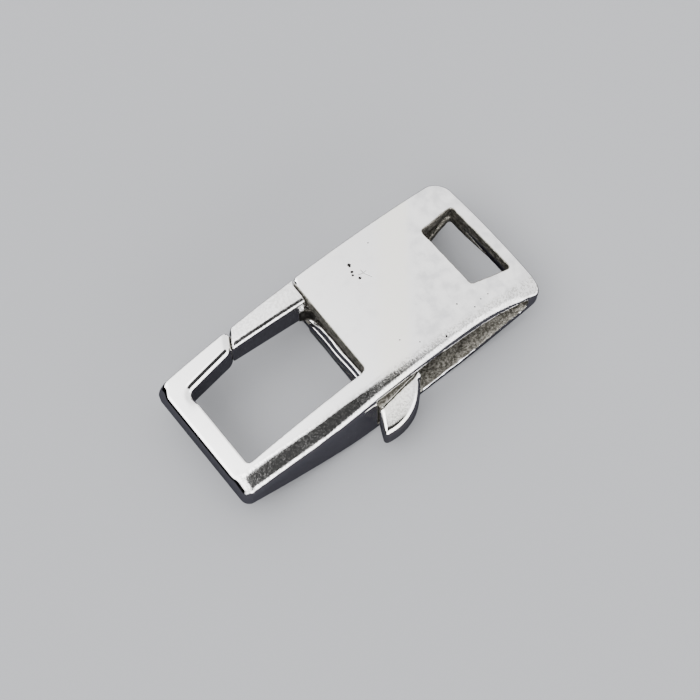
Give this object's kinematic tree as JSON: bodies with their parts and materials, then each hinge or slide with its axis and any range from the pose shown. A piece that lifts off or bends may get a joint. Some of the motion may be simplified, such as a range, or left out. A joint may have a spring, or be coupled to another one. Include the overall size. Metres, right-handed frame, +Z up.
{
  "type": "lobster clasp",
  "caption": "Flat arched lobster clasp with a rectangular front ring, a sprung gate lever with a thumb tab, and a rear slot for a chain or strap.",
  "frame": {"origin": "bottom centre of the bounding box: the clasp lies on its belly, and the origin is under the middle of its box", "axes": "+X from the rear slot to the nose of the front ring, +Y to the side where the thumb tab stands out, +Z up through the arched top"},
  "size_m": [0.02, 0.01, 0.0042],
  "materials": {
    "body": "polished cast silver",
    "lever": "polished cast silver",
    "pivot_pin": "plain drawn silver wire",
    "return_spring": "plain spring wire"
  },
  "bodies": {
    "frame": {"body": "body", "pivot_pin": "pivot_pin", "return_spring": "return_spring"},
    "lever": {"lever": "lever"}
  },
  "joints": [
    {"name": "gate_hinge", "type": "hinge", "parent": "frame", "child": "lever", "pos_m": [-0.0023, -0.00289, 0.0021], "axis": [0, 0, 1], "range_deg": [0, 22], "stiffness_Nm_per_rad": 0.002, "springref_deg": -57.3}
  ]
}
